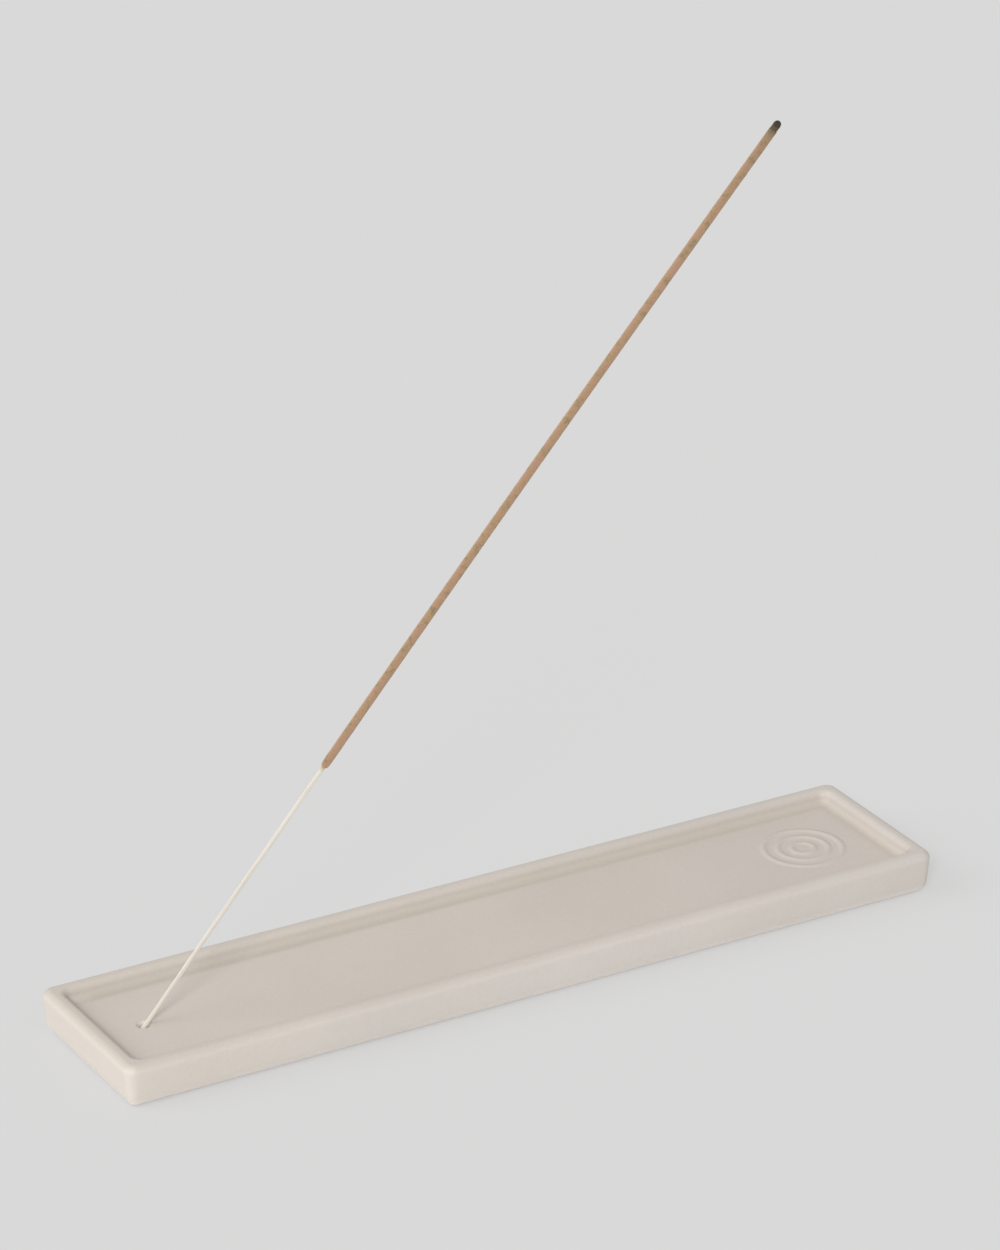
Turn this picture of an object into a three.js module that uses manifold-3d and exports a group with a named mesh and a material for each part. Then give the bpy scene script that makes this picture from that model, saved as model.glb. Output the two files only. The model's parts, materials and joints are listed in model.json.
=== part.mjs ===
// Incense holder: a low glazed ceramic tray with a slanted blind hole near one end, a well that
// catches the ash, and a bamboo-core incense stick that leans over the well.
// Millimetres. +X runs along the tray, from the hole to the ornament, +Z is up, and the origin is
// on the table under the middle of the tray.

import * as THREE from 'three';
import { mergeVertices } from 'three/addons/utils/BufferGeometryUtils.js';
import Module from 'manifold-3d';

// Tray outside
const trayLength = 280;
const trayWidth = 59.2;
const trayHeight = 14.4;
const wallDraft = 5; // degrees, the walls lean out towards the rim
const cornerRadius = 3.8; // seen from above, at the widest line
const topEdgeRadius = 2.5;
const bottomEdgeRadius = 4.7;

// Foot ring under the tray
const footWidth = 5;
const footRecess = 0.8;
const footSlope = 1.2;

// Well that catches the ash
const rimThickness = 5.7;
const wellDepth = 4.05;
const wellDraft = 12; // degrees
const wellEdgeRadius = 2.3;
const coveRadius = 2.4;
const wellCornerRadius = 2.6; // seen from above, at the well's wall

// Hole that holds the stick
const holeInset = 20.86; // from the tray's end to the bore's axis, at the height of the well's floor
const boreClearance = 0.3; // between splint and bore, all round
const webUnderHole = 3; // ceramic left between the bore's end and the recess
const dimpleInset = 20; // from the tray's end to the middle of the dip round the bore
const dimpleRadius = 2.6;
const dimpleFlat = 0.8; // radius of the dip's flat bottom
const dimpleDepth = 1.8;

// Ornament: concentric ripples on the well's floor
const ornamentInset = 29.5; // from the tray's far end to the ornament's centre
const ornamentRadius = 13.6;
const ripplePitch = 4.4;
const rippleWidth = 2.4;
const rippleHeight = 0.36;
const rippleSink = 0.5; // how far a ripple's root reaches into the floor

// Stick
const stickLean = 49.2; // degrees above the table, in the hole
const stickDroop = 1.6; // degrees that the stick sags from its foot to its tip
const splintRadius = 0.65;
const splintChamfer = 0.15;
const seatGap = 0.3; // between the splint's end and the bore's end
const handleLength = 100; // bare bamboo, from its end to the paste
const coatRadius = 1.3;
const coatLength = 229;
const coatShoulder = 2.2;
const coatClearance = 0.1; // between paste and splint
const charRadius = 1.25;
const charLength = 3.1;
const charGap = 0.1; // between paste and burnt end
const splintInChar = 1.5; // how far the splint reaches into the burnt end

// Facets
const cornerSteps = 6;
const arcSteps = 6;
const roundSides = 16;
const rippleSides = 40;
const dimpleSides = 32;
const longStep = 20; // greatest length of a facet along the stick

const wasm = await Module();
wasm.setup();

const floorHeight = trayHeight - wellDepth;
const smallestCorner = 0.4;

function radians(degrees) {
  return degrees * Math.PI / 180;
}

// Points of an arc in the tray's profile: x is the inset from the widest line, y the height.
// Angles are in degrees from straight outwards, so that -90 looks down and 90 looks up.
function arc(centre, radius, from, to) {
  const points = [];
  for (let step = 0; step <= arcSteps; step += 1) {
    const angle = radians(from + (to - from) * step / arcSteps);
    points.push(new THREE.Vector2(centre.x - radius * Math.cos(angle), centre.y + radius * Math.sin(angle)));
  }
  return points;
}

// A rounded rectangle of the tray's plan, moved in by the inset
function outline(inset, radius, height) {
  const halfLength = trayLength / 2 - inset - radius;
  const halfWidth = trayWidth / 2 - inset - radius;
  const points = [];
  for (let corner = 0; corner < 4; corner += 1) {
    const x = corner === 0 || corner === 3 ? halfLength : -halfLength;
    const y = corner < 2 ? halfWidth : -halfWidth;
    for (let step = 0; step <= cornerSteps; step += 1) {
      const angle = (corner + step / cornerSteps) * Math.PI / 2;
      points.push(new THREE.Vector3(x + radius * Math.cos(angle), y + radius * Math.sin(angle), height));
    }
  }
  return points;
}

// A closed skin over rings of equally many points, with a flat cap on the first and the last
function loft(rings) {
  const count = rings[0].length;
  const vertices = rings.flat();
  const firstCentre = vertices.length;
  const lastCentre = firstCentre + 1;
  vertices.push(new THREE.Vector3(0, 0, rings[0][0].z));
  vertices.push(new THREE.Vector3(0, 0, rings[rings.length - 1][0].z));
  const indices = [];
  for (let side = 0; side < count; side += 1) {
    const next = (side + 1) % count;
    for (let ring = 0; ring < rings.length - 1; ring += 1) {
      const low = ring * count;
      const high = low + count;
      indices.push(low + side, low + next, high + next);
      indices.push(low + side, high + next, high + side);
    }
    const top = (rings.length - 1) * count;
    indices.push(firstCentre, next, side);
    indices.push(lastCentre, top + side, top + next);
  }
  const geometry = new THREE.BufferGeometry().setFromPoints(vertices);
  geometry.setIndex(indices);
  return geometry;
}

function solid(geometry) {
  const bare = geometry.clone();
  bare.deleteAttribute('normal');
  bare.deleteAttribute('uv');
  const merged = mergeVertices(bare);
  return new wasm.Manifold(new wasm.Mesh({
    numProp: 3,
    vertProperties: new Float32Array(merged.attributes.position.array),
    triVerts: new Uint32Array(merged.index.array),
  }));
}

function geometryOf(manifold) {
  const mesh = manifold.getMesh();
  const geometry = new THREE.BufferGeometry();
  geometry.setAttribute('position', new THREE.BufferAttribute(mesh.vertProperties, 3));
  geometry.setIndex(new THREE.BufferAttribute(mesh.triVerts, 1));
  geometry.computeVertexNormals();
  return geometry;
}

function piece(name, geometry, colour, roughness) {
  const material = new THREE.MeshStandardMaterial({ color: colour, roughness, metalness: 0 });
  const mesh = new THREE.Mesh(geometry, material);
  mesh.name = name;
  return mesh;
}

// Outside of the tray, from the underside to the middle of the rim
function outerRings() {
  const topCentre = new THREE.Vector2(topEdgeRadius, trayHeight - topEdgeRadius);
  const rise = trayHeight - topEdgeRadius - bottomEdgeRadius;
  const draft = radians(wallDraft);
  const lean = (rise * Math.sin(draft) + bottomEdgeRadius - topEdgeRadius) / Math.cos(draft);
  const bottomCentre = new THREE.Vector2(topEdgeRadius + lean, bottomEdgeRadius);
  const footEdge = bottomCentre.x + footWidth;
  const profile = [
    new THREE.Vector2(footEdge + footSlope, footRecess),
    new THREE.Vector2(footEdge, 0),
    ...arc(bottomCentre, bottomEdgeRadius, -90, -wallDraft),
    ...arc(topCentre, topEdgeRadius, 0, 90),
  ];
  return profile.map((point) => {
    const radius = Math.max(cornerRadius - point.x, smallestCorner);
    return outline(point.x, radius, point.y);
  });
}

// Rim's inner edge, wall and cove, down to the floor
function wellRings() {
  const roundings = wellDepth / (1 - Math.sin(radians(wellDraft)));
  const share = Math.min(1, roundings / (wellEdgeRadius + coveRadius));
  const edge = wellEdgeRadius * share;
  const cove = coveRadius * share;
  const edgeCentre = new THREE.Vector2(rimThickness - edge, trayHeight - edge);
  const coveHeight = floorHeight + cove;
  const climb = (coveHeight - edgeCentre.y) * Math.sin(radians(wellDraft));
  const reach = (edge + cove - climb) / Math.cos(radians(wellDraft));
  const coveCentre = new THREE.Vector2(edgeCentre.x + reach, coveHeight);
  const profile = [
    ...arc(edgeCentre, edge, 90, 180 - wellDraft),
    ...arc(coveCentre, cove, -wellDraft, -90),
  ];
  return profile.map((point) => {
    const radius = Math.max(wellCornerRadius + rimThickness - point.x, smallestCorner);
    return outline(point.x, radius, point.y);
  });
}

// Where the stick stands: its own +Y runs along the hole and its +X is the side that looks up
const along = new THREE.Vector3(Math.cos(radians(stickLean)), 0, Math.sin(radians(stickLean)));
const upward = new THREE.Vector3(-along.z, 0, along.x);
const across = new THREE.Vector3(0, 1, 0);
const boreMouth = new THREE.Vector3(holeInset - trayLength / 2, 0, floorHeight);
boreMouth.addScaledVector(along, -dimpleDepth / along.z);
const boreDepth = (boreMouth.z - footRecess - webUnderHole) / along.z;
const stickFoot = boreMouth.clone().addScaledVector(along, seatGap - boreDepth);
const stickFrame = new THREE.Matrix4().makeBasis(upward, along, across).setPosition(stickFoot);

function boreCutter() {
  const radius = splintRadius + boreClearance;
  const overshoot = 2 * dimpleRadius;
  const length = boreDepth + overshoot;
  const cutter = new THREE.CylinderGeometry(radius, radius, length, roundSides);
  cutter.translate(0, length / 2 - seatGap, 0);
  cutter.applyMatrix4(stickFrame);
  return solid(cutter);
}

// A round dip with a small flat bottom and soft edges, where the glaze has run into the hole's mouth
function dimpleCutter() {
  const profile = [new THREE.Vector2(0, -dimpleDepth)];
  for (let step = 0; step <= arcSteps; step += 1) {
    const share = step / arcSteps;
    const x = dimpleFlat + (dimpleRadius - dimpleFlat) * share;
    profile.push(new THREE.Vector2(x, -dimpleDepth * (1 + Math.cos(Math.PI * share)) / 2));
  }
  profile.push(new THREE.Vector2(dimpleRadius, dimpleDepth));
  profile.push(new THREE.Vector2(0, dimpleDepth));
  const cutter = new THREE.LatheGeometry(profile, dimpleSides);
  cutter.rotateX(Math.PI / 2);
  cutter.translate(dimpleInset - trayLength / 2, 0, floorHeight);
  return solid(cutter);
}

// One ripple: a closed ring with a rounded crest, rooted in the floor
function ripple(radius) {
  const profile = [];
  for (let step = 0; step <= arcSteps; step += 1) {
    const share = step / arcSteps;
    const x = radius + rippleWidth * (0.5 - share);
    profile.push(new THREE.Vector2(x, rippleHeight * Math.sin(Math.PI * share)));
  }
  profile.push(new THREE.Vector2(radius - rippleWidth / 2, -rippleSink));
  profile.push(new THREE.Vector2(radius + rippleWidth / 2, -rippleSink));
  profile.push(profile[0].clone());
  const ring = new THREE.LatheGeometry(profile, rippleSides);
  ring.rotateX(Math.PI / 2);
  ring.translate(trayLength / 2 - ornamentInset, 0, floorHeight);
  return solid(ring);
}

function tray() {
  let body = solid(loft([...outerRings(), ...wellRings()]));
  for (let radius = ornamentRadius - rippleWidth / 2; radius > rippleWidth; radius -= ripplePitch) {
    body = body.add(ripple(radius));
  }
  body = body.subtract(dimpleCutter()).subtract(boreCutter());
  return piece('tray', geometryOf(body), '#cfc5bb', 0.5);
}

// Turned piece of the stick: x of the profile is the radius, y the distance from the stick's foot.
// The straight shape is then bent to the arc of a stick that sags under its own weight.
function stickPiece(profile) {
  const stickLength = handleLength + coatLength + charLength;
  const bendRadius = stickLength / radians(stickDroop);
  const geometry = new THREE.LatheGeometry(profile, roundSides);
  const positions = geometry.attributes.position;
  for (let index = 0; index < positions.count; index += 1) {
    const x = positions.getX(index);
    const turn = positions.getY(index) / bendRadius;
    positions.setX(index, (x + bendRadius) * Math.cos(turn) - bendRadius);
    positions.setY(index, (x + bendRadius) * Math.sin(turn));
  }
  return geometryOf(solid(geometry));
}

// A straight run of the profile at one radius, in steps short enough to follow the bend
function run(radius, from, to) {
  const steps = Math.max(1, Math.ceil(Math.abs(to - from) / longStep));
  const points = [];
  for (let step = 0; step <= steps; step += 1) {
    points.push(new THREE.Vector2(radius, from + (to - from) * step / steps));
  }
  return points;
}

const coatEnd = handleLength + coatLength;
const charStart = coatEnd + charGap;
const splintLength = charStart + splintInChar;
const sleeveRadius = splintRadius + coatClearance;

function bambooSplint() {
  const profile = [
    new THREE.Vector2(0, 0),
    new THREE.Vector2(splintRadius - splintChamfer, 0),
    ...run(splintRadius, splintChamfer, splintLength - splintChamfer),
    new THREE.Vector2(splintRadius - splintChamfer, splintLength),
    new THREE.Vector2(0, splintLength),
  ];
  return piece('bamboo_splint', stickPiece(profile), '#dfd8c4', 0.6);
}

function incenseCoat() {
  const shoulder = [];
  for (let step = 1; step < arcSteps; step += 1) {
    const angle = step / arcSteps * Math.PI / 2;
    const x = sleeveRadius + (coatRadius - sleeveRadius) * Math.sin(angle);
    shoulder.push(new THREE.Vector2(x, handleLength + coatShoulder * (1 - Math.cos(angle))));
  }
  const profile = [
    ...run(sleeveRadius, coatEnd, handleLength),
    ...shoulder,
    ...run(coatRadius, handleLength + coatShoulder, coatEnd),
    new THREE.Vector2(sleeveRadius, coatEnd),
  ];
  return piece('incense_coat', stickPiece(profile), '#a98b71', 0.9);
}

function charredTip() {
  const pocket = splintLength + coatClearance;
  const charEnd = charStart + charLength - charGap;
  const roundHeight = charEnd - pocket - coatClearance;
  const dome = [];
  for (let step = 0; step < arcSteps; step += 1) {
    const angle = step / arcSteps * Math.PI / 2;
    const y = charEnd - roundHeight * (1 - Math.sin(angle));
    dome.push(new THREE.Vector2(charRadius * Math.cos(angle), y));
  }
  const profile = [
    new THREE.Vector2(0, pocket),
    new THREE.Vector2(sleeveRadius, pocket),
    new THREE.Vector2(sleeveRadius, charStart),
    new THREE.Vector2(charRadius, charStart),
    ...dome,
    new THREE.Vector2(0, charEnd),
  ];
  return piece('charred_tip', stickPiece(profile), '#3a322c', 0.95);
}

const stick = new THREE.Group();
stick.add(bambooSplint());
stick.add(incenseCoat());
stick.add(charredTip());
stick.position.copy(stickFoot);
stick.setRotationFromMatrix(stickFrame);

const incenseHolder = new THREE.Group();
incenseHolder.add(tray());
incenseHolder.add(stick);

export default incenseHolder;
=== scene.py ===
import json
import math

import bpy
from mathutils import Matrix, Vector, noise


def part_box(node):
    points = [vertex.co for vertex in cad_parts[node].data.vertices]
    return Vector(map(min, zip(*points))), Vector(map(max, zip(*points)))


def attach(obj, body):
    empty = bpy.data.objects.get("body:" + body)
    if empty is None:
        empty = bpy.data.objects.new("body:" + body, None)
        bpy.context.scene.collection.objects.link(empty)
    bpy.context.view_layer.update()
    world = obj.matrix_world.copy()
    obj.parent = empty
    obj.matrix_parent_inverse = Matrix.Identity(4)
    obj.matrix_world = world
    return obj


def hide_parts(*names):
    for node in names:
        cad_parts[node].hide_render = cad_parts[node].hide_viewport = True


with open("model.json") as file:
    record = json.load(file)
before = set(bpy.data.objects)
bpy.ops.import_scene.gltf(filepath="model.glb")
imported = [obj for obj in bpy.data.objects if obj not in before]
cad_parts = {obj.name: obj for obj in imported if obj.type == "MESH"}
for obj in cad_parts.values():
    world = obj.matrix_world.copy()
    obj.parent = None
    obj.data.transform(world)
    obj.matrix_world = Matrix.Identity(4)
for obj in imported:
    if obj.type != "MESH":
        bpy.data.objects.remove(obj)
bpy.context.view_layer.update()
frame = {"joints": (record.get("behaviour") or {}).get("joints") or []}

# Incense holder: a glazed tray with a slanted hole, and a stick that leans over its well.
# Lengths are in millimetres until add_piece turns them into metres, unless a comment says metres.
# Angles are in degrees, and tones are 0 to 255 as seen on a screen.

MM = 0.001

# Photograph
PHOTO_HEIGHT = 1250  # pixels
FOCAL_PIXELS = 5563.4
SENSOR = 36.0
CAMERA_AZIMUTH = -30.16
CAMERA_ELEVATION = 24.22
CAMERA_PLACE = (-0.75404, -1.29927, 0.78754)  # metres
CLIP_END = 50  # metres

# Tray, as in the CAD model
TRAY_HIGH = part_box("tray")[1] / MM
HALF_LENGTH = TRAY_HIGH.x
HALF_WIDTH = TRAY_HIGH.y
HEIGHT = TRAY_HIGH.z
WALL_DRAFT = 5.0
CORNER_RADIUS = 3.8
TOP_EDGE_RADIUS = 2.5
BOTTOM_EDGE_RADIUS = 4.7
FOOT_WIDTH = 5.0
FOOT_RECESS = 0.8
FOOT_SLOPE = 1.2
RIM_THICKNESS = 5.7
WELL_DEPTH = 4.05
WELL_DRAFT = 12.0
WELL_EDGE_RADIUS = 2.3
COVE_RADIUS = 2.4
WELL_CORNER_RADIUS = 2.6
SMALLEST_CORNER = 0.4
FLOOR = HEIGHT - WELL_DEPTH

# Hole
HOLE_X = 20.86 - HALF_LENGTH  # the bore's axis, at the height of the well's floor
BORE_RADIUS = 0.95
BORE_END_RADIUS = 0.9 * BORE_RADIUS
BORE_END_RISE = 0.12  # over the bore's end, where it starts to close
WEB_UNDER_HOLE = 3.0
DIMPLE_X = 20.0 - HALF_LENGTH
DIMPLE_RADIUS = 2.6
DIMPLE_FLAT = 0.8
DIMPLE_DEPTH = 1.8
DIMPLE_REACH = 3.2  # the first round row of the mesh, just outside the dip
LIP = 0.2  # radius of the edge between dip and bore

# Ornament
ORNAMENT_X = HALF_LENGTH - 29.5
ORNAMENT_RADIUS = 13.6
RIPPLE_PITCH = 4.4
RIPPLE_WIDTH = 2.4
RIPPLE_HEIGHT = 0.36
RIPPLE_SPREAD = 1.35  # how much wider the glaze makes each ripple
ORNAMENT_MARGIN = 0.2  # from the outermost ripple to the first circle of the mesh

# Uneven skin of the tray: depth, waves per millimetre and start of each
SLOW_WAVES = (0.07, 0.028, Vector((3.1, 7.7, 1.3)))
QUICK_WAVES = (0.015, 0.12, Vector((9.2, 4.5, 6.1)))
STEADY_HEIGHT = 1.5  # below it the foot keeps its nominal shape

# Tones of the glaze, among them painted light and shade: where each one starts and ends
BARE_HEIGHT = 0.05
# Painted light: a pale band over the shaded rounded foot, fading out between these heights
PAINTED_FOOT_LIGHT_FADE = (0.6, 4.2)  # heights
# Painted shade on the rim and the well's wall, fading in between these heights
RIM_SHADE_FADE = (HEIGHT - 1.9, HEIGHT - 0.5)  # heights
WELL_FADE = (RIM_THICKNESS - 1.5, RIM_THICKNESS + 1.5)  # insets
# Painted highlight on the dip's upper slope round the hole, between these depths
DIP_HIGHLIGHT_FADE_IN = (0.05, 0.4)  # depths in the dip
DIP_HIGHLIGHT_FADE_OUT = (0.7, 1.1)
# Painted shade in the crease between the well's wall and floor, weaker at the hole's end
CREASE_SHADE_MIDDLE = RIM_THICKNESS + 1.5  # inset of the deepest tone
CREASE_SHADE_WALL_SIDE = 2.2
CREASE_SHADE_FLOOR_SIDE = 3.0
CREASE_SHADE_DEPTH = 0.5  # under the floor; nothing deeper takes the tone
CREASE_SHADE_LEAST = 0.2  # its strength at the hole's end
CREASE_SHADE_GROWTH = (CREASE_SHADE_MIDDLE + 1.0, CREASE_SHADE_MIDDLE + 9.0)  # from the hole's end

# Stick
STICK_DROOP = 1.6
SPLINT_RADIUS = 0.65
SPLINT_CUT_RADIUS = 0.55 * SPLINT_RADIUS
SPLINT_WORN_RADIUS = 0.92 * SPLINT_RADIUS
SPLINT_WEAR = 0.05  # from an end of the splint to its worn radius
SPLINT_WEAR_END = 0.2  # from an end of the splint to its full radius
SPLINT_FINE_END = 4.0  # how far the fine mesh runs into the paste
SPLINT_COARSE_START = 14.0  # how far into the paste the coarse mesh starts
SEAT_GAP = 0.3
SLEEVE_GAP = 0.05  # between the splint and what lies round it
HANDLE_LENGTH = 100.0
SMEAR_START = HANDLE_LENGTH - 1.0
SMEAR_LENGTH = 1.2
COAT_RADIUS = 1.3
COAT_LENGTH = 229.0
COAT_SHOULDER = 2.2
COAT_SHOULDER_POWER = 0.8
COAT_END_RADIUS = 0.93 * COAT_RADIUS
CHAR_RADIUS = 1.25
CHAR_ROOT_RADIUS = 0.94 * CHAR_RADIUS
CHAR_LENGTH = 3.1
CHAR_GAP = 0.1
DOME_START = 0.1  # over the end of the pocket that holds the splint
SPLINT_IN_CHAR = 1.5
EDGE_WEAR = 0.1  # of the coat and the burnt end, where they meet
SCORCH_REACH = 1.3
SMOKE_REACH = 18.0
CHAR_BAND_REACH = 0.8
FIBRE_STRETCH = 0.02  # how fast the bamboo's grain changes along the stick
SMEAR_SEED = 0.5  # picks the shape of the smear's ragged edge

# Uneven skins and edges of the stick: a level, and waves on it
# A wave is its depth, its pace round the stick, its pace along the stick and its start
SPLINT_SKIN = (0.965, (0.03, 3.1, 0.012, 0.0), (0.015, 1.0, 0.22, 0.0))
PASTE_SKIN = (0.975, (0.018, 0.6, 0.09, 0.0), (0.02, 1.3, 0.5, 5.0), (0.026, 3.4, 2.7, 0.0))
CHAR_SKIN = (0.93, (0.07, 1.8, 1.4, 0.0), (0.05, 4.6, 4.0, 0.0))
SMEAR_EDGE = (SMEAR_START, (0.6, 2.0, 1.0, 0.0))
SCORCH_EDGE = (0.0, (0.5, 1.5, 0.8, 0.0))

# Where the stick stands
STICK_AXIS = Vector(frame["joints"][0]["axis"]).normalized()
STICK_UPWARD = Vector((-STICK_AXIS.z, 0, STICK_AXIS.x))
BORE_SIDE = Vector((STICK_AXIS.z, 0, -STICK_AXIS.x))
BORE_MOUTH = Vector((HOLE_X, 0, FLOOR)) - STICK_AXIS * (DIMPLE_DEPTH / STICK_AXIS.z)
BORE_DEPTH = (BORE_MOUTH.z - FOOT_RECESS - WEB_UNDER_HOLE) / STICK_AXIS.z
STICK_FOOT = BORE_MOUTH + STICK_AXIS * (SEAT_GAP - BORE_DEPTH)
STICK_LENGTH = HANDLE_LENGTH + COAT_LENGTH + CHAR_LENGTH
BEND_RADIUS = STICK_LENGTH / math.radians(STICK_DROOP)
COAT_END = HANDLE_LENGTH + COAT_LENGTH
CHAR_START = COAT_END + CHAR_GAP
CHAR_END = CHAR_START + CHAR_LENGTH - CHAR_GAP
SPLINT_LENGTH = CHAR_START + SPLINT_IN_CHAR
SLEEVE_RADIUS = SPLINT_RADIUS + SLEEVE_GAP
POCKET_END = SPLINT_LENGTH + SLEEVE_GAP

# Floor and light
BACKDROP_TONE = (217, 217, 217)
SEEN_TONE = (217, 217, 217)  # of the floor where the camera sees it
STAGE_TONE = (236, 236, 236)  # of the floor as it lights the object
GLOW_SHARE = 0.6  # how much of the seen floor doesn't depend on the light
FLOOR_REACH = 8.0  # metres
FLOOR_GAP = 0.0001  # metres, under the object
SKY_LEVEL = 0.605
LAMP_TONE = (1.0, 0.995, 0.985)  # linear values
# Name, level, spread, azimuth from the front towards the left, elevation
LAMPS = (
    ("key", 0.49, 15.0, 40.0, 32.0),
    ("side", 0.27, 40.0, 105.0, 30.0),
)

# Fineness of the meshes
ARC_STEPS = 12
CORNER_STEPS = 10
WALL_ROWS = 4
RIM_ROWS = 3
FLOOR_ROWS = 60
HOLE_CELLS = 7
ORNAMENT_CELLS = 23
PLAIN_CELL = 3.0
BLEND_ROWS = 3
RIPPLE_ROWS = 52
DIP_ROWS = 20
LIP_TURNS = (20, 40, 60, 80, 90)
SEARCH_REACH = 6.0  # how far up and down the bore its mouth is looked for
SEARCH_STEPS = 40
SPLINT_SIDES = 28
SPLINT_CELL = 1.0
HIDDEN_SPLINT_CELL = 10.0
PASTE_SIDES = 24
PASTE_CELL = 0.36
HIDDEN_PASTE_CELL = 20.0
SHOULDER_STEPS = 10
CHAR_CELL = 0.18
POCKET_CELL = 0.5
DOME_STEPS = 12


def linear(red, green, blue):
    """A colour of 0 to 255, as seen on a screen, in Blender's linear values."""
    def channel(value):
        value /= 255
        return value / 12.92 if value <= 0.04045 else ((value + 0.055) / 1.055) ** 2.4
    return (channel(red), channel(green), channel(blue), 1.0)


def add_camera():
    data = bpy.data.cameras.new("camera")
    data.sensor_width = SENSOR
    data.lens = FOCAL_PIXELS * SENSOR / PHOTO_HEIGHT
    data.clip_end = CLIP_END
    camera = bpy.data.objects.new("camera", data)
    camera.location = CAMERA_PLACE
    camera.rotation_euler = (math.radians(90 - CAMERA_ELEVATION), 0, math.radians(CAMERA_AZIMUTH))
    bpy.context.scene.collection.objects.link(camera)
    bpy.context.scene.camera = camera


def add_piece(name, points, faces):
    """A mesh object from points in millimetres, with its place in its vertices."""
    mesh = bpy.data.meshes.new(name)
    mesh.from_pydata([Vector(point) * MM for point in points], [], faces)
    mesh.validate()
    mesh.shade_smooth()
    piece = bpy.data.objects.new(name, mesh)
    bpy.context.scene.collection.objects.link(piece)
    return piece


class Finish:
    """A Principled material, built up node by node.

    Noise runs per metre where it follows a place, and per millimetre where it follows the grain.
    The distance of a bump is in metres.
    """

    def __init__(self, name, roughness, specular=0.5):
        self.material = bpy.data.materials.new(name)
        self.material.use_nodes = True
        self.tree = self.material.node_tree
        self.shader = self.tree.nodes["Principled BSDF"]
        self.shader.inputs["Roughness"].default_value = roughness
        self.shader.inputs["Specular IOR Level"].default_value = specular

    def node(self, kind, **inputs):
        made = self.tree.nodes.new(kind)
        for name, value in inputs.items():
            self.put(value, made.inputs[name.replace("_", " ")])
        return made

    def put(self, value, socket):
        if isinstance(value, bpy.types.NodeSocket):
            self.tree.links.new(value, socket)
        else:
            socket.default_value = value

    def place(self):
        return self.node("ShaderNodeTexCoord").outputs["Object"]

    def attribute(self, name, output="Vector"):
        made = self.node("ShaderNodeAttribute")
        made.attribute_name = name
        return made.outputs[output]

    def noise(self, vector, scale, detail, roughness=0.5):
        made = self.node("ShaderNodeTexNoise", Vector=vector, Scale=scale, Detail=detail)
        made.inputs["Roughness"].default_value = roughness
        return made.outputs["Fac"]

    def spots(self, vector, scale):
        made = self.node("ShaderNodeTexVoronoi", Vector=vector, Scale=scale)
        return made.outputs["Distance"]

    def ramp(self, factor, *stops):
        made = self.node("ShaderNodeValToRGB", Fac=factor)
        elements = made.color_ramp.elements
        while len(elements) < len(stops):
            elements.new(0.5)
        for element, (position, colour) in zip(elements, stops):
            element.position = position
            element.color = colour
        return made.outputs["Color"]

    def mix(self, factor, first, second):
        made = self.tree.nodes.new("ShaderNodeMix")
        made.data_type = "RGBA"
        sockets = {socket.identifier: socket for socket in made.inputs}
        self.put(factor, sockets["Factor_Float"])
        self.put(first, sockets["A_Color"])
        self.put(second, sockets["B_Color"])
        return next(socket for socket in made.outputs if socket.identifier == "Result_Color")

    def maths(self, operation, first, second):
        made = self.tree.nodes.new("ShaderNodeMath")
        made.operation = operation
        self.put(first, made.inputs[0])
        self.put(second, made.inputs[1])
        return made.outputs[0]

    def span(self, value, low, high, to_low=0.0, to_high=1.0):
        """A value on the way from low to high, carried over to the way from to_low to to_high."""
        made = self.node("ShaderNodeMapRange", Value=value)
        ends = {"From Min": low, "From Max": high, "To Min": to_low, "To Max": to_high}
        for name, number in ends.items():
            made.inputs[name].default_value = number
        return made.outputs["Result"]

    def bump(self, height, distance, strength, under=None):
        made = self.node("ShaderNodeBump", Height=height, Distance=distance, Strength=strength)
        if under is not None:
            self.put(under, made.inputs["Normal"])
        return made.outputs["Normal"]

    def dim(self, colour, amount):
        """A colour times a number."""
        made = self.tree.nodes.new("ShaderNodeVectorMath")
        made.operation = "SCALE"
        self.put(colour, made.inputs["Vector"])
        self.put(amount, made.inputs["Scale"])
        return made.outputs["Vector"]

    def part(self, vector, axis):
        return self.node("ShaderNodeSeparateXYZ", Vector=vector).outputs[axis]

    def use(self, **sockets):
        for name, value in sockets.items():
            self.put(value, self.shader.inputs[name.replace("_", " ")])


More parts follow.
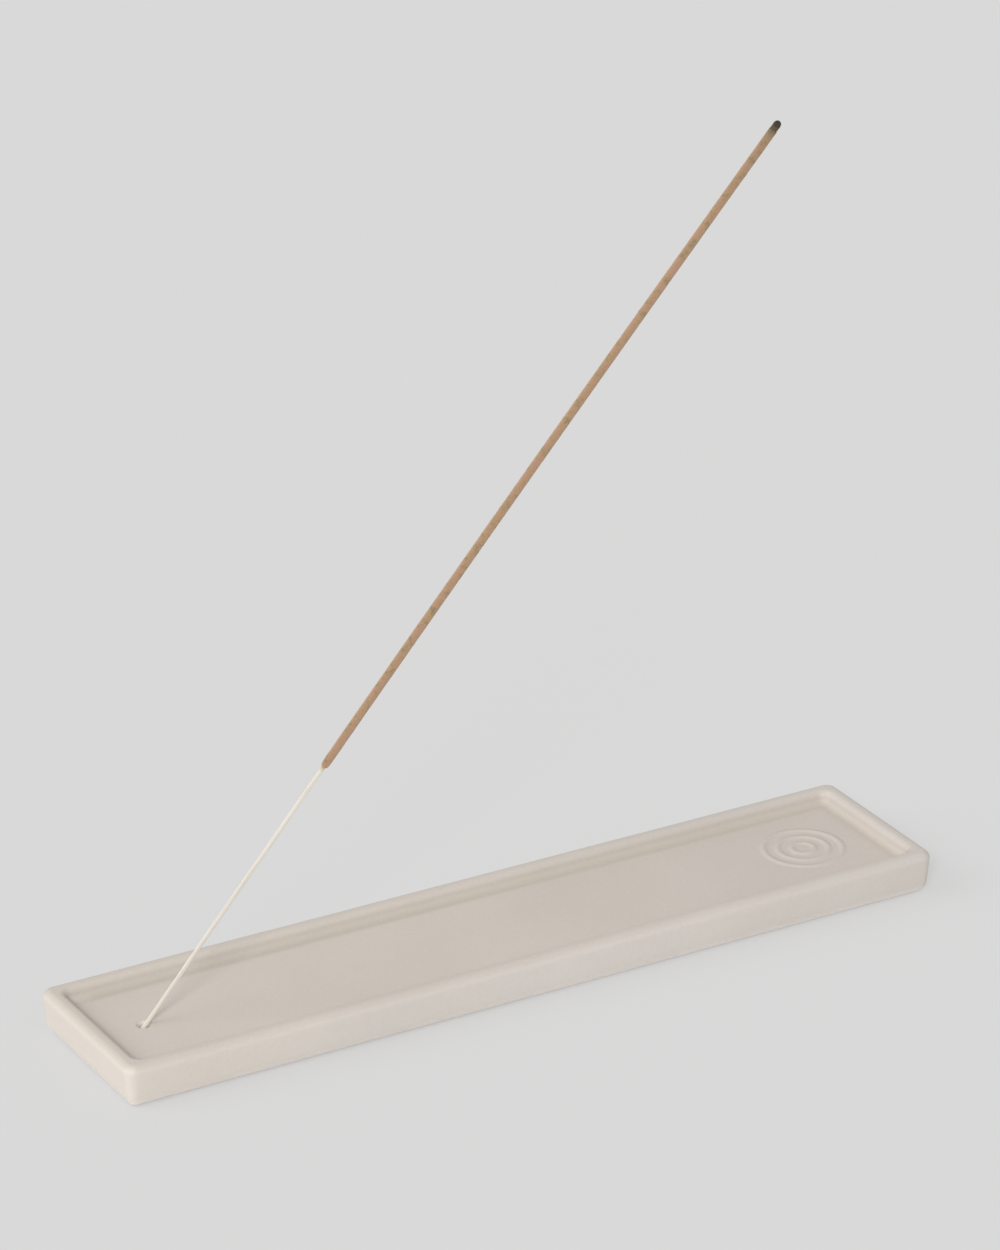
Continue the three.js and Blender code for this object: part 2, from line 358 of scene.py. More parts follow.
def glaze():
    """Satin greige glaze, with painted light and shade: pale at the foot and round the hole, darker and
    warmer on the rim, and darker towards the +X end.

    It has painted shade in the crease between the well's wall and floor.
    """
    finish = Finish("satin_glaze", roughness=0.55)
    place = finish.place()
    # Painted light falloff: the tones below grow darker towards the +X end, away from the lamps on the
    # left
    along = finish.span(finish.part(place, "X"), -HALF_LENGTH * MM, HALF_LENGTH * MM)
    outside = finish.ramp(
        along,
        (0.0, linear(210, 202, 193)),
        (0.22, linear(207, 200, 192)),
        (0.5, linear(205, 199, 193)),
        (1.0, linear(199, 192, 185)),
    )
    # Painted shade: a darker, warmer tone on the rim and the well's wall, which tones down the light on
    # them
    edge = finish.mix(along, linear(202, 193, 183), linear(196, 189, 182))
    inside = finish.ramp(
        along,
        (0.0, linear(202, 194, 185)),
        (0.48, linear(202, 194, 185)),
        (0.62, linear(198, 190, 181)),
        (1.0, linear(196, 187, 179)),
    )
    # Painted light: the pale foot tone lifts the shade on the rounded bottom edge
    foot_light_painted = finish.mix(finish.attribute("foot", "Fac"), outside, linear(232, 226, 219))
    rim_shaded = finish.mix(finish.attribute("rim", "Fac"), foot_light_painted, edge)
    body = finish.mix(finish.attribute("well", "Fac"), rim_shaded, inside)
    # Painted highlight: a paler tone on the upper slope of the dip round the hole
    dip_highlighted = finish.mix(finish.attribute("lip", "Fac"), body, linear(217, 209, 198))
    # Painted shade: a darker tone in the crease between the well's wall and floor
    crease_shaded = finish.mix(finish.attribute("pool", "Fac"), dip_highlighted, linear(189, 180, 170))
    clouds = finish.noise(place, scale=24.0, detail=3.0)
    clouded = finish.dim(crease_shaded, finish.span(clouds, 0.3, 0.7, 0.975, 1.025))
    grain = finish.noise(place, scale=900.0, detail=4.0, roughness=0.6)
    grained = finish.dim(clouded, finish.span(grain, 0.35, 0.75, 1.012, 0.965))
    bare = finish.attribute("bare", "Fac")
    sand = finish.noise(place, scale=1600.0, detail=5.0, roughness=0.7)
    clay = finish.ramp(sand, (0.3, linear(196, 184, 168)), (0.7, linear(214, 204, 190)))
    finish.use(Base_Color=finish.mix(bare, grained, clay))
    patches = finish.noise(place, scale=60.0, detail=2.0)
    satin = finish.span(patches, 0.3, 0.7, 0.5, 0.6)
    rough = finish.maths("MULTIPLY", bare, 0.85)
    finish.use(Roughness=finish.maths("MAXIMUM", satin, rough))
    dimples = finish.noise(place, scale=350.0, detail=2.0)
    dimpled = finish.bump(dimples, distance=0.00006, strength=0.5)
    finish.use(Normal=finish.bump(grain, distance=0.00002, strength=0.5, under=dimpled))
    return finish.material


def bamboo():
    """Pale split bamboo: fibres along the stick, a few darker ones, paste smeared at the coat."""
    finish = Finish("split_bamboo", roughness=0.7, specular=0.25)
    finish.use(Diffuse_Roughness=1.0)
    grain = finish.attribute("grain")
    fibres = finish.noise(grain, scale=3.2, detail=4.0, roughness=0.6)
    wood = finish.ramp(
        fibres,
        (0.3, linear(205, 197, 185)),
        (0.5, linear(217, 211, 201)),
        (0.75, linear(226, 222, 214)),
    )
    smear = finish.attribute("smear", "Fac")
    stained = finish.mix(smear, wood, linear(176, 150, 126))
    finish.use(Base_Color=stained, Normal=finish.bump(fibres, distance=0.00004, strength=0.7))
    return finish.material


def paste():
    """Rolled incense paste: brown, mottled with rust and olive, matt, gritty, scorched at its end."""
    finish = Finish("incense_paste", roughness=0.92, specular=0.15)
    finish.use(Diffuse_Roughness=1.0)
    grain = finish.attribute("grain")
    blotches = finish.noise(grain, scale=0.55, detail=4.0, roughness=0.65)
    base = finish.ramp(
        blotches,
        (0.32, linear(152, 133, 104)),
        (0.43, linear(170, 146, 119)),
        (0.50, linear(181, 151, 115)),
        (0.57, linear(182, 146, 126)),
        (0.70, linear(175, 152, 131)),
    )
    grit = finish.noise(grain, scale=3.6, detail=5.0, roughness=0.7)
    gritty = finish.mix(finish.span(grit, 0.45, 0.7, 0.0, 0.5), base, linear(136, 112, 89))
    flecks = finish.span(finish.spots(grain, scale=1.7), 0.0, 0.28, 0.55, 0.0)
    flecked = finish.mix(flecks, gritty, linear(196, 171, 146))
    smoke = finish.span(finish.attribute("smoke", "Fac"), 0.0, 1.0, 1.0, 0.86)
    smoked = finish.dim(flecked, smoke)
    scorch = finish.attribute("scorch", "Fac")
    scorched = finish.ramp(
        scorch,
        (0.0, linear(150, 132, 108)),
        (0.5, linear(130, 114, 92)),
        (1.0, linear(84, 74, 60)),
    )
    finish.use(Base_Color=finish.mix(finish.span(scorch, 0.0, 0.35), smoked, scorched))
    finish.use(Normal=finish.bump(grit, distance=0.00012, strength=0.8))
    return finish.material


def char():
    """Carbonised paste with a little grey ash on its lumps."""
    finish = Finish("char", roughness=0.95, specular=0.15)
    finish.use(Diffuse_Roughness=1.0)
    grain = finish.attribute("grain")
    lumps = finish.noise(grain, scale=2.6, detail=5.0, roughness=0.7)
    black = finish.ramp(
        lumps,
        (0.35, linear(38, 32, 27)),
        (0.6, linear(76, 66, 55)),
        (0.8, linear(128, 118, 106)),
    )
    finish.use(Base_Color=finish.mix(finish.attribute("scorch", "Fac"), black, linear(112, 100, 82)))
    finish.use(Normal=finish.bump(lumps, distance=0.0002, strength=0.9))
    return finish.material


def arc(centre, radius, start, end):
    """Points (inset, height) of an arc; angles are in degrees from straight outwards."""
    points = []
    for step in range(ARC_STEPS + 1):
        angle = math.radians(start + (end - start) * step / ARC_STEPS)
        points.append((centre[0] - radius * math.cos(angle), centre[1] + radius * math.sin(angle)))
    return points


def outer_profile():
    """Underside, foot ring, rounded bottom edge, leaning wall and the rim's outer edge."""
    draft = math.radians(WALL_DRAFT)
    rise = HEIGHT - TOP_EDGE_RADIUS - BOTTOM_EDGE_RADIUS
    lean = (rise * math.sin(draft) + BOTTOM_EDGE_RADIUS - TOP_EDGE_RADIUS) / math.cos(draft)
    bottom = (TOP_EDGE_RADIUS + lean, BOTTOM_EDGE_RADIUS)
    foot_edge = bottom[0] + FOOT_WIDTH
    profile = []
    for step in range(ARC_STEPS + 1):
        share = step / ARC_STEPS
        height = FOOT_RECESS * (1 + math.cos(math.pi * share)) / 2
        profile.append((foot_edge + FOOT_SLOPE * (1 - share), height))
    profile.append((bottom[0] + FOOT_WIDTH / 2, 0.0))
    low_arc = arc(bottom, BOTTOM_EDGE_RADIUS, -90, -WALL_DRAFT)
    high_arc = arc((TOP_EDGE_RADIUS, HEIGHT - TOP_EDGE_RADIUS), TOP_EDGE_RADIUS, -WALL_DRAFT, 90)
    wall = between(low_arc[-1], high_arc[0], WALL_ROWS)
    return profile + low_arc + wall + high_arc


def well_profile():
    """Top of the rim, its inner edge, the wall and the cove down to the floor."""
    draft = math.radians(WELL_DRAFT)
    edge = (RIM_THICKNESS - WELL_EDGE_RADIUS, HEIGHT - WELL_EDGE_RADIUS)
    cove_height = FLOOR + COVE_RADIUS
    reach = WELL_EDGE_RADIUS + COVE_RADIUS - (cove_height - edge[1]) * math.sin(draft)
    cove = (edge[0] + reach / math.cos(draft), cove_height)
    edge_arc = arc(edge, WELL_EDGE_RADIUS, 90, 180 - WELL_DRAFT)
    rim = between((TOP_EDGE_RADIUS, HEIGHT), edge_arc[0], RIM_ROWS)
    return rim + edge_arc + arc(cove, COVE_RADIUS, -WELL_DRAFT, -90)


def between(start, end, steps):
    """The points strictly between two points of a profile."""
    return [
        tuple(a + (b - a) * step / steps for a, b in zip(start, end))
        for step in range(1, steps)
    ]


def even(start, end, cell):
    """Lines from start up to, and without, end, about a cell apart."""
    count = max(1, round((end - start) / cell))
    return [start + (end - start) * step / count for step in range(count)]


def ripple_height(distance):
    """The relief of the ripples at a distance from their centre."""
    crest = ORNAMENT_RADIUS - RIPPLE_WIDTH / 2
    reach = RIPPLE_WIDTH * RIPPLE_SPREAD / 2
    height = 0.0
    while crest > RIPPLE_WIDTH:
        offset = abs(distance - crest)
        if offset < reach:
            height += RIPPLE_HEIGHT * (1 + math.cos(math.pi * offset / reach)) / 2
        crest -= RIPPLE_PITCH
    return height


def dimple_height(x, y):
    """The dip round the hole: a small flat bottom and a soft slope up to the floor."""
    share = (math.hypot(x - DIMPLE_X, y) - DIMPLE_FLAT) / (DIMPLE_RADIUS - DIMPLE_FLAT)
    return -DIMPLE_DEPTH * (1 + math.cos(math.pi * min(1.0, max(0.0, share)))) / 2


class TrayMesh:
    """The tray's skin: rings from the recess over the rim to the well's floor, and a grid in each."""

    def __init__(self):
        self.points = []
        self.faces = []

    def add(self, x, y, z):
        self.points.append((x, y, z))
        return len(self.points) - 1

    def strip(self, low, high):
        """Quads between two closed rows of as many points."""
        for side in range(len(low)):
            after = (side + 1) % len(low)
            self.faces.append((low[side], low[after], high[after], high[side]))

    def fan(self, centre, row):
        """Triangles from a closed row to its centre."""
        for side in range(len(row)):
            self.faces.append((centre, row[side], row[(side + 1) % len(row)]))

    def build(self):
        """The whole skin, on grid lines that lie closer together at the hole and the ornament."""
        profile = outer_profile() + well_profile()
        last_inset = profile[-1][0]
        radius = max(WELL_CORNER_RADIUS + RIM_THICKNESS - last_inset, SMALLEST_CORNER)
        self.reach_x = HALF_LENGTH - last_inset - radius
        self.reach_y = HALF_WIDTH - last_inset - radius
        cell = 2 * self.reach_y / FLOOR_ROWS
        self.lines_y = [-self.reach_y + cell * row for row in range(FLOOR_ROWS + 1)]
        hole = HOLE_CELLS * cell
        ornament = ORNAMENT_CELLS * cell
        self.lines_x = [
            *even(-self.reach_x, DIMPLE_X - hole, PLAIN_CELL),
            *even(DIMPLE_X - hole, DIMPLE_X + hole, cell),
            *even(DIMPLE_X + hole, ORNAMENT_X - ornament, PLAIN_CELL),
            *even(ORNAMENT_X - ornament, ORNAMENT_X + ornament, cell),
            *even(ORNAMENT_X + ornament, self.reach_x, PLAIN_CELL),
            self.reach_x,
        ]
        outer_count = len(outer_profile())
        rings = []
        for index, (inset, height) in enumerate(profile):
            if index < outer_count:
                radius = max(CORNER_RADIUS - inset, SMALLEST_CORNER)
            else:
                radius = max(WELL_CORNER_RADIUS + RIM_THICKNESS - inset, SMALLEST_CORNER)
            rings.append(self.ring(inset, radius, height))
        for low, high in zip(rings, rings[1:]):
            self.strip(low, high)
        self.underside(rings[0])
        self.floor(rings[-1])

    def ring(self, inset, radius, height):
        """A rounded rectangle whose sides carry the floor's grid lines, from the side at +X round."""
        reach_x = HALF_LENGTH - inset - radius
        reach_y = HALF_WIDTH - inset - radius
        along_y = [line * reach_y / self.reach_y for line in self.lines_y]
        along_x = [line * reach_x / self.reach_x for line in self.lines_x]
        quarters = (
            (reach_x, reach_y, along_y),
            (-reach_x, reach_y, along_x[::-1]),
            (-reach_x, -reach_y, along_y[::-1]),
            (reach_x, -reach_y, along_x),
        )
        outline = []
        for turn, (centre_x, centre_y, side) in enumerate(quarters):
            start = turn * math.pi / 2
            for line in side:
                if turn % 2 == 0:
                    outline.append((math.copysign(reach_x + radius, centre_x), line))
                else:
                    outline.append((line, math.copysign(reach_y + radius, centre_y)))
            for step in range(1, CORNER_STEPS):
                angle = start + math.pi / 2 * step / CORNER_STEPS
                x = centre_x + radius * math.cos(angle)
                y = centre_y + radius * math.sin(angle)
                outline.append((x, y))
        return [self.add(x, y, height) for x, y in outline]

    def sides(self, ring):
        """The ring's four straight sides and four corners, as rows of point numbers."""
        count_y = len(self.lines_y)
        count_x = len(self.lines_x)
        rows = []
        start = 0
        for count in (count_y, count_x, count_y, count_x):
            rows.append(ring[start:start + count])
            start += count
            corner = ring[start - 1:start + CORNER_STEPS - 1]
            corner.append(ring[(start + CORNER_STEPS - 1) % len(ring)])
            rows.append(corner)
            start += CORNER_STEPS - 1
        return rows

    def grid(self, ring, height, windows, upward):
        """A flat sheet of cells inside a ring, joined to it, with square windows left open."""
        def face(*corners):
            self.faces.append(corners if upward else corners[::-1])

        cells = {}
        for column, x in enumerate(self.lines_x):
            for row, y in enumerate(self.lines_y):
                inside = any(
                    first < column < last and low < row < high
                    for first, last, low, high in windows
                )
                if not inside:
                    cells[column, row] = self.add(x, y, height)
        last_x = len(self.lines_x) - 1
        last_y = len(self.lines_y) - 1
        for column in range(last_x):
            for row in range(last_y):
                open_cell = any(
                    first <= column < last and low <= row < high
                    for first, last, low, high in windows
                )
                if not open_cell:
                    face(
                        cells[column, row],
                        cells[column + 1, row],
                        cells[column + 1, row + 1],
                        cells[column, row + 1],
                    )
        edges = (
            [cells[last_x, row] for row in range(last_y + 1)],
            [cells[column, last_y] for column in range(last_x, -1, -1)],
            [cells[0, row] for row in range(last_y, -1, -1)],
            [cells[column, 0] for column in range(last_x + 1)],
        )
        rows = self.sides(ring)
        for turn in range(4):
            side, corner, edge = rows[2 * turn], rows[2 * turn + 1], edges[turn]
            for index in range(len(side) - 1):
                face(edge[index], side[index], side[index + 1], edge[index + 1])
            for index in range(len(corner) - 1):
                face(edge[-1], corner[index], corner[index + 1])
        return cells

    def underside(self, ring):
        """The glazed recess inside the foot ring."""
        self.grid(ring, FOOT_RECESS, [], upward=False)

    def floor(self, ring):
        """The well's floor, with the hole and the ornament in two square windows of it."""
        middle = FLOOR_ROWS // 2
        windows = []
        for centre, size in ((DIMPLE_X, HOLE_CELLS), (ORNAMENT_X, ORNAMENT_CELLS)):
            column = min(range(len(self.lines_x)), key=lambda line: abs(self.lines_x[line] - centre))
            windows.append((column - size, column + size, middle - size, middle + size))
        cells = self.grid(ring, FLOOR, windows, upward=True)
        self.hole(self.window_edge(cells, windows[0]))
        self.ornament(self.window_edge(cells, windows[1]))

    def window_edge(self, cells, window):
        """The window's edge points, anticlockwise from above."""
        first, last, low, high = window
        return [
            *[cells[last, row] for row in range(low, high)],
            *[cells[column, high] for column in range(last, first, -1)],
            *[cells[first, row] for row in range(high, low, -1)],
            *[cells[column, low] for column in range(first, last)],
        ]

    def ornament(self, edge):
        """Rings round the ornament's centre, from the window's square edge to circles."""
        directions = [self.direction(number, ORNAMENT_X) for number in edge]
        start_radius = ORNAMENT_RADIUS + RIPPLE_WIDTH * (RIPPLE_SPREAD - 1) / 2 + ORNAMENT_MARGIN
        row = edge
        for step in range(1, BLEND_ROWS + 1):
            share = step / BLEND_ROWS
            new_row = []
            for number, (cos, sin) in zip(edge, directions):
                x, y, z = self.points[number]
                new_row.append(self.add(
                    x + (ORNAMENT_X + start_radius * cos - x) * share,
                    y + (start_radius * sin - y) * share,
                    z,
                ))
            self.strip(row, new_row)
            row = new_row
        for step in range(1, RIPPLE_ROWS):
            radius = start_radius * (1 - step / RIPPLE_ROWS)
            height = FLOOR + ripple_height(radius)
            new_row = [
                self.add(ORNAMENT_X + radius * cos, radius * sin, height)
                for cos, sin in directions
            ]
            self.strip(row, new_row)
            row = new_row
        self.fan(self.add(ORNAMENT_X, 0, FLOOR), row)

    def direction(self, number, centre_x):
        """Cosine and sine of the way from a centre on the tray's long axis to a point."""
        x, y, _ = self.points[number]
        angle = math.atan2(y, x - centre_x)
        return math.cos(angle), math.sin(angle)

    def hole(self, edge):
        """Rings down the dip to the bore's mouth, over its rounded lip and along the slanted bore."""
        directions = [self.direction(number, DIMPLE_X) for number in edge]
        mouth = [self.mouth_point(BORE_RADIUS + LIP, cos, sin) for cos, sin in directions]
        reach = [(DIMPLE_X + DIMPLE_REACH * cos, DIMPLE_REACH * sin) for cos, sin in directions]
        row = edge
        for step in range(DIP_ROWS + 1):
            share = step / DIP_ROWS
            new_row = []
            for wide, narrow in zip(reach, mouth):
                x, y = (a + (b - a) * share for a, b in zip(wide, narrow))
                new_row.append(self.add(x, y, FLOOR + dimple_height(x, y)))
            self.strip(row, new_row)
            row = new_row
        for turn in LIP_TURNS:
            angle = math.radians(turn)
            new_row = []
            for cos, sin in directions:
                point = self.mouth_point(BORE_RADIUS + LIP * (1 - math.sin(angle)), cos, sin)
                new_row.append(self.add(*(point - STICK_AXIS * LIP * (1 - math.cos(angle)))))
            self.strip(row, new_row)
            row = new_row
        end = BORE_MOUTH - STICK_AXIS * BORE_DEPTH
        for radius, rise in ((BORE_RADIUS, BORE_END_RISE), (BORE_END_RADIUS, 0.0)):
            new_row = []
            for cos, sin in directions:
                across = BORE_SIDE * (radius * cos) + Vector((0, radius * sin, 0))
                new_row.append(self.add(*(end + across + STICK_AXIS * rise)))
            self.strip(row, new_row)
            row = new_row
        self.fan(self.add(*end), row)

    def mouth_point(self, radius, cos, sin):
        """Where a line along the bore, a radius off its axis, meets the dipped floor."""
        start = BORE_MOUTH + BORE_SIDE * (radius * cos) + Vector((0, radius * sin, 0))
        low, high = -SEARCH_REACH, SEARCH_REACH
        for _ in range(SEARCH_STEPS):
            middle = (low + high) / 2
            point = start + STICK_AXIS * middle
            if point.z < FLOOR + dimple_height(point.x, point.y):
                low = middle
            else:
                high = middle
        return start + STICK_AXIS * low


def hand_made(point):
    """How far the skin of the tray lies inside its nominal shape, so that no line is ruler-straight."""
    return sum(
        depth * (1 + noise.noise(point * pace + start))
        for depth, pace, start in (SLOW_WAVES, QUICK_WAVES)
    )


def ease(value, low, high):
    """0 at low, 1 at high, and a smooth rise between them."""
    share = min(1.0, max(0.0, (value - low) / (high - low)))
    return share * share * (3 - 2 * share)


def well_share(inset, height):
    """1 on the well's floor, 0 on the rim and outside."""
    if height < FLOOR - 2 * DIMPLE_DEPTH or inset < RIM_THICKNESS - WELL_EDGE_RADIUS:
        return 0.0
    return ease(inset, *WELL_FADE)


def rim_shade_share(inset, height):
    """1 on top of the rim and on the well's wall, where shade is painted; 0 outside."""
    return 1.0 if inset > RIM_THICKNESS / 2 else ease(height, *RIM_SHADE_FADE)


def painted_foot_light_share(inset, height):
    """1 at the foot's rounded edge, where pale light is painted over its shade; 0 up the wall and
    inside.
    """
    return 0.0 if inset > RIM_THICKNESS else 1 - ease(height, *PAINTED_FOOT_LIGHT_FADE)


def dip_highlight_share(x, y, height):
    """1 on the dip's slope round the hole, where a highlight is painted; 0 on the floor and in the
    bore.
    """
    if height > FLOOR or math.hypot(x - DIMPLE_X, y) > DIMPLE_RADIUS:
        return 0.0
    return ease(FLOOR - height, *DIP_HIGHLIGHT_FADE_IN) * (1 - ease(FLOOR - height, *DIP_HIGHLIGHT_FADE_OUT))


def crease_shade_share(x, inset, height):
    """1 where shade is painted darkest, in the crease between wall and floor; less at the hole's end.
    """
    if height < FLOOR - CREASE_SHADE_DEPTH:
        return 0.0
    most = CREASE_SHADE_LEAST + (1 - CREASE_SHADE_LEAST) * ease(x + HALF_LENGTH, *CREASE_SHADE_GROWTH)
    rise = ease(inset, CREASE_SHADE_MIDDLE - CREASE_SHADE_WALL_SIDE, CREASE_SHADE_MIDDLE)
    fall = ease(inset, CREASE_SHADE_MIDDLE, CREASE_SHADE_MIDDLE + CREASE_SHADE_FLOOR_SIDE)
    return most * rise * (1 - fall)


def add_tray():
    """The tray's skin, with the shares of its glaze on its points, pressed in a little unevenly."""
    skin = TrayMesh()
    skin.build()
    tray = add_piece("glazed_tray", skin.points, skin.faces)
    mesh = tray.data
    # The foot, rim, lip and pool shares carry painted light and shade; bare and well don't
    shares = {"bare": [], "foot": [], "rim": [], "well": [], "lip": [], "pool": []}
    for x, y, z in skin.points:
        inset = min(HALF_LENGTH - abs(x), HALF_WIDTH - abs(y))
        shares["bare"].append(1.0 if z < BARE_HEIGHT else 0.0)
        shares["foot"].append(painted_foot_light_share(inset, z))
        shares["rim"].append(rim_shade_share(inset, z))
        shares["well"].append(well_share(inset, z))
        shares["lip"].append(dip_highlight_share(x, y, z))
        shares["pool"].append(crease_shade_share(x, inset, z))
    for name, values in shares.items():
        paint(tray, name, values)
    normals = [vertex.normal.copy() for vertex in mesh.vertices]
    for vertex, normal in zip(mesh.vertices, normals):
        if vertex.co.z > STEADY_HEIGHT * MM:
            vertex.co -= normal * hand_made(vertex.co / MM) * MM
    mesh.materials.append(glaze())
    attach(tray, "tray")
    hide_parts("tray")


def on_stick(upward, across, distance):
    """The place of a point of the straight stick once it is bent and stands in its hole."""
    turn = distance / BEND_RADIUS
    lift = (upward + BEND_RADIUS) * math.cos(turn) - BEND_RADIUS
    travel = (upward + BEND_RADIUS) * math.sin(turn)
    return STICK_FOOT + STICK_UPWARD * lift + STICK_AXIS * travel + Vector((0, across, 0))


def turned_piece(name, profile, sides, roughen, looped=False, stretch=1.0):
    """A closed skin round the stick's line through (radius, distance) stations, which roughen changes.

    With it comes the place of each point on the straight stick. The grain of the material is that
    place, with its distance times stretch.
    """
    points = []
    grain = []
    rows = []
    for radius, distance in profile:
        row = []
        for side in range(sides if radius else 1):
            angle = 2 * math.pi * side / sides
            upward = math.cos(angle)
            across = math.sin(angle)
            size = roughen(radius, upward, across, distance)
            row.append(len(points))
            points.append(on_stick(size * upward, size * across, distance))
            grain.append((size * upward, size * across, distance))
        rows.append(row)
    faces = []
    following = rows[1:] + rows[:1] if looped else rows[1:]
    for low, high in zip(rows, following):
        for side in range(sides):
            after = (side + 1) % sides
            if len(low) == 1:
                faces.append((low[0], high[after], high[side]))
            elif len(high) == 1:
                faces.append((low[side], low[after], high[0]))
            else:
                faces.append((low[side], low[after], high[after], high[side]))
    piece = add_piece(name, points, faces)
    held = piece.data.attributes.new("grain", "FLOAT_VECTOR", "POINT")
    for number, (upward, across, distance) in enumerate(grain):
        held.data[number].vector = (upward, across, distance * stretch)
    return piece, grain


def stations(radius, start, end, cell):
    """Stations of one radius, from start to end, about a cell apart."""
    count = max(1, round(abs(end - start) / cell))
    return [(radius, start + (end - start) * step / count) for step in range(count + 1)]


def paint(piece, name, values):
    """A number on each point of a piece, for its material to read."""
    attribute = piece.data.attributes.new(name, "FLOAT", "POINT")
    for number, value in enumerate(values):
        attribute.data[number].value = value


def uneven(skin, upward, across, distance):
    """A level with waves of smooth noise on it, which run round the stick and along it."""
    level, *waves = skin
    for depth, round_pace, long_pace, start in waves:
        place = (upward * round_pace + start, across * round_pace, distance * long_pace)
        level += depth * noise.noise(Vector(place))
    return level


def finish_stick_piece(piece, node, material):
    piece.data.materials.append(material)
    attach(piece, "stick")
    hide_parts(node)


def splint_radius(radius, upward, across, distance):
    """Split bamboo: fibres along it and slight lumps."""
    return radius * uneven(SPLINT_SKIN, upward, across, distance)


def add_splint():
    fine_end = HANDLE_LENGTH + SPLINT_FINE_END
    coarse_start = HANDLE_LENGTH + SPLINT_COARSE_START
    coarse_end = SPLINT_LENGTH - SPLINT_WEAR_END
    profile = [
        (0, 0),
        (SPLINT_CUT_RADIUS, 0),
        (SPLINT_WORN_RADIUS, SPLINT_WEAR),
        *stations(SPLINT_RADIUS, SPLINT_WEAR_END, fine_end, SPLINT_CELL),
        *stations(SPLINT_RADIUS, coarse_start, coarse_end, HIDDEN_SPLINT_CELL),
        (SPLINT_WORN_RADIUS, SPLINT_LENGTH - SPLINT_WEAR),
        (0, SPLINT_LENGTH),
    ]
    splint, grain = turned_piece(
        "bamboo_core", profile, SPLINT_SIDES, splint_radius, stretch=FIBRE_STRETCH
    )
    smear = []
    for upward, across, distance in grain:
        ragged = uneven(SMEAR_EDGE, upward, across, SMEAR_SEED)
        smear.append(min(1.0, max(0.0, (distance - ragged) / SMEAR_LENGTH)))
    paint(splint, "smear", smear)
    finish_stick_piece(splint, "bamboo_splint", bamboo())


def paste_radius(radius, upward, across, distance):
    """Rolled paste: slow swells, pressed sides and grit outside, and a smooth bore for the splint."""
    if radius <= SLEEVE_RADIUS:
        return radius
    return min(radius * uneven(PASTE_SKIN, upward, across, distance), radius)


def add_coat():
    shoulder = []
    for step in range(1, SHOULDER_STEPS):
        angle = math.pi / 2 * step / SHOULDER_STEPS
        size = SLEEVE_RADIUS + (COAT_RADIUS - SLEEVE_RADIUS) * math.sin(angle) ** COAT_SHOULDER_POWER
        shoulder.append((size, HANDLE_LENGTH + COAT_SHOULDER * (1 - math.cos(angle))))
    outside_start = HANDLE_LENGTH + COAT_SHOULDER
    outside_end = COAT_END - EDGE_WEAR
    profile = [
        *stations(SLEEVE_RADIUS, COAT_END, HANDLE_LENGTH, HIDDEN_PASTE_CELL),
        *shoulder,
        *stations(COAT_RADIUS, outside_start, outside_end, PASTE_CELL),
        (COAT_END_RADIUS, COAT_END),
    ]
    coat, grain = turned_piece("rolled_paste", profile, PASTE_SIDES, paste_radius, looped=True)
    scorch = []
    smoke = []
    for upward, across, distance in grain:
        ragged = uneven(SCORCH_EDGE, upward, across, distance)
        reach = max(0.0, COAT_END - distance + ragged)
        scorch.append(math.exp(-reach / SCORCH_REACH))
        smoke.append(math.exp(-reach / SMOKE_REACH))
    paint(coat, "scorch", scorch)
    paint(coat, "smoke", smoke)
    finish_stick_piece(coat, "incense_coat", paste())


def char_radius(radius, upward, across, distance):
    """Burnt paste: lumps and grit outside, and a smooth pocket for the splint's end."""
    if radius <= SLEEVE_RADIUS and distance <= POCKET_END:
        return radius
    return min(radius * uneven(CHAR_SKIN, upward, across, distance), radius)


def add_char():
    dome_height = CHAR_END - POCKET_END - DOME_START
    dome = []
    for step in range(1, DOME_STEPS):
        angle = math.pi / 2 * step / DOME_STEPS
        dome.append((CHAR_RADIUS * math.cos(angle), CHAR_END - dome_height * (1 - math.sin(angle))))
    profile = [
        (0, POCKET_END),
        *stations(SLEEVE_RADIUS, POCKET_END, CHAR_START, POCKET_CELL),
        (CHAR_ROOT_RADIUS, CHAR_START),
        *stations(CHAR_RADIUS, CHAR_START + EDGE_WEAR, CHAR_END - dome_height, CHAR_CELL),
        *dome,
        (0, CHAR_END),
    ]
    tip, grain = turned_piece("burnt_end", profile, PASTE_SIDES, char_radius)
    band = [
        math.exp(-max(0.0, distance - CHAR_START) / CHAR_BAND_REACH)
        for _, _, distance in grain
    ]
    paint(tip, "scorch", band)
    finish_stick_piece(tip, "charred_tip", char())


def looked_at(tree):
    """1 for the rays that show a backdrop: those of the camera, of gloss and of glass."""
    rays = tree.nodes.new("ShaderNodeLightPath").outputs
    shown = rays["Is Camera Ray"]
    for name in ("Is Glossy Ray", "Is Transmission Ray"):
        either = tree.nodes.new("ShaderNodeMath")
        either.operation = "MAXIMUM"
        tree.links.new(shown, either.inputs[0])
        tree.links.new(rays[name], either.inputs[1])
        shown = either.outputs[0]
    return shown


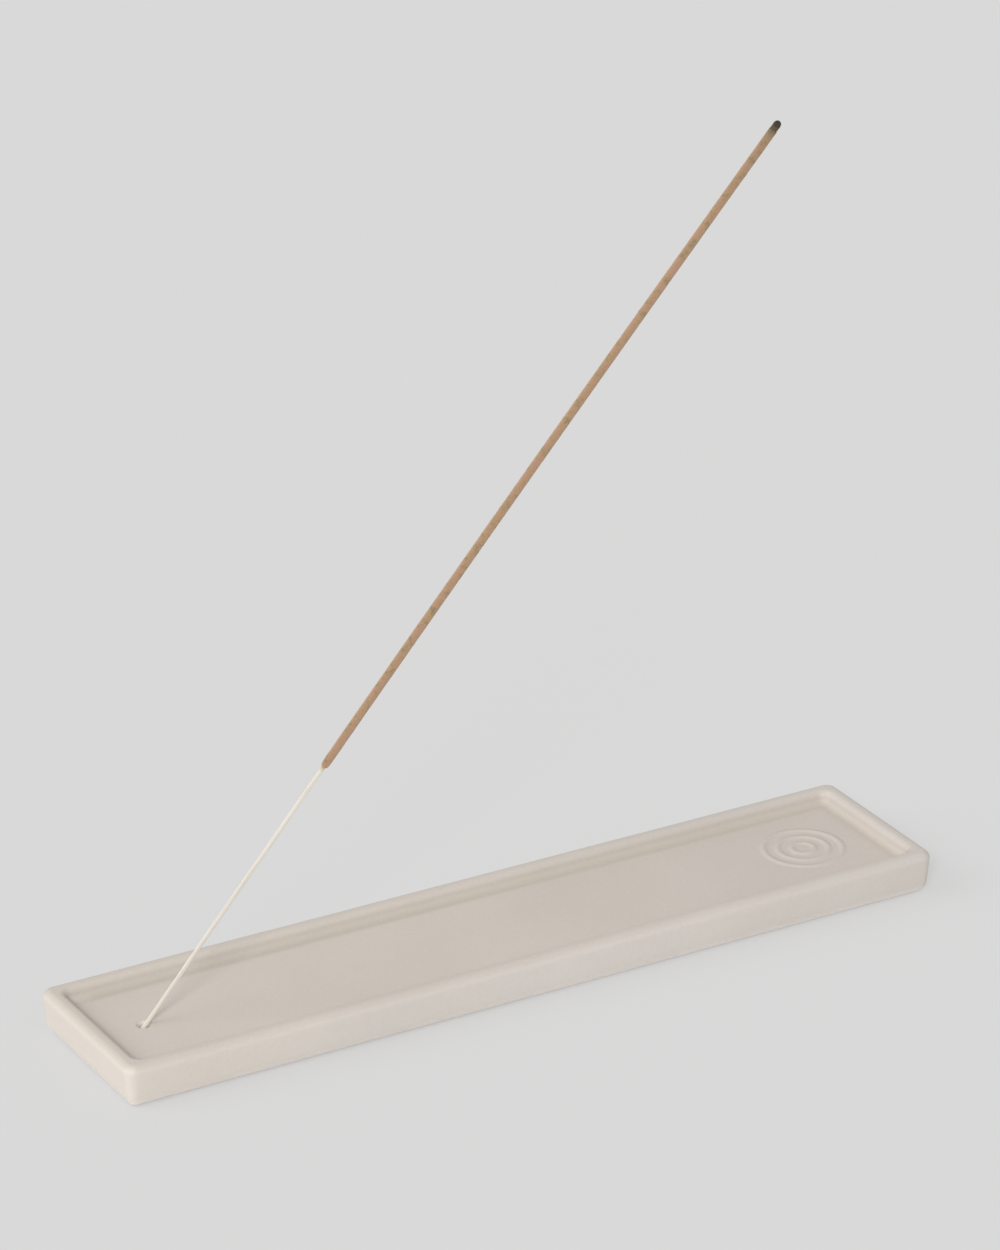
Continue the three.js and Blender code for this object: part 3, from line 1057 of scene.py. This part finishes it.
def add_stage():
    """A pale floor that keeps a soft shadow, and looks the same grey all round."""
    mesh = bpy.data.meshes.new("floor")
    signs = [(-1, -1), (1, -1), (1, 1), (-1, 1)]
    corners = [(x * FLOOR_REACH, y * FLOOR_REACH, -FLOOR_GAP) for x, y in signs]
    mesh.from_pydata(corners, [], [(0, 1, 2, 3)])
    floor = bpy.data.objects.new("floor", mesh)
    bpy.context.scene.collection.objects.link(floor)
    finish = Finish("pale_floor", roughness=0.9, specular=0.0)
    finish.use(Base_Color=linear(*STAGE_TONE))
    lit = finish.node("ShaderNodeBsdfDiffuse", Color=linear(*SEEN_TONE))
    glow = finish.node("ShaderNodeEmission", Color=linear(*BACKDROP_TONE))
    seen = finish.node("ShaderNodeMixShader", Fac=GLOW_SHARE)
    surface = finish.node("ShaderNodeMixShader", Fac=looked_at(finish.tree))
    links = finish.tree.links
    links.new(lit.outputs[0], seen.inputs[1])
    links.new(glow.outputs[0], seen.inputs[2])
    links.new(finish.shader.outputs[0], surface.inputs[1])
    links.new(seen.outputs[0], surface.inputs[2])
    links.new(surface.outputs[0], finish.tree.nodes["Material Output"].inputs["Surface"])
    mesh.materials.append(finish.material)


def add_light():
    """A pale sky all round, a soft key from the front and the left, and a wider lamp from the left."""
    world = bpy.data.worlds.new("studio")
    bpy.context.scene.world = world
    world.use_nodes = True
    tree = world.node_tree
    sky = tree.nodes["Background"]
    sky.inputs["Color"].default_value = (1.0, 1.0, 1.0, 1.0)
    sky.inputs["Strength"].default_value = SKY_LEVEL
    backdrop = tree.nodes.new("ShaderNodeBackground")
    backdrop.inputs["Color"].default_value = linear(*BACKDROP_TONE)
    both = tree.nodes.new("ShaderNodeMixShader")
    tree.links.new(looked_at(tree), both.inputs[0])
    tree.links.new(sky.outputs[0], both.inputs[1])
    tree.links.new(backdrop.outputs[0], both.inputs[2])
    tree.links.new(both.outputs[0], tree.nodes["World Output"].inputs["Surface"])
    for name, level, spread, azimuth, elevation in LAMPS:
        data = bpy.data.lights.new(name, "SUN")
        data.energy = level * math.pi
        data.angle = math.radians(spread)
        data.color = LAMP_TONE
        lamp = bpy.data.objects.new(name, data)
        lamp.rotation_euler = (math.radians(90 - elevation), 0, -math.radians(azimuth))
        bpy.context.scene.collection.objects.link(lamp)


add_camera()
add_tray()
add_splint()
add_coat()
add_char()
add_stage()
add_light()
bpy.context.scene.view_settings.view_transform = "Standard"
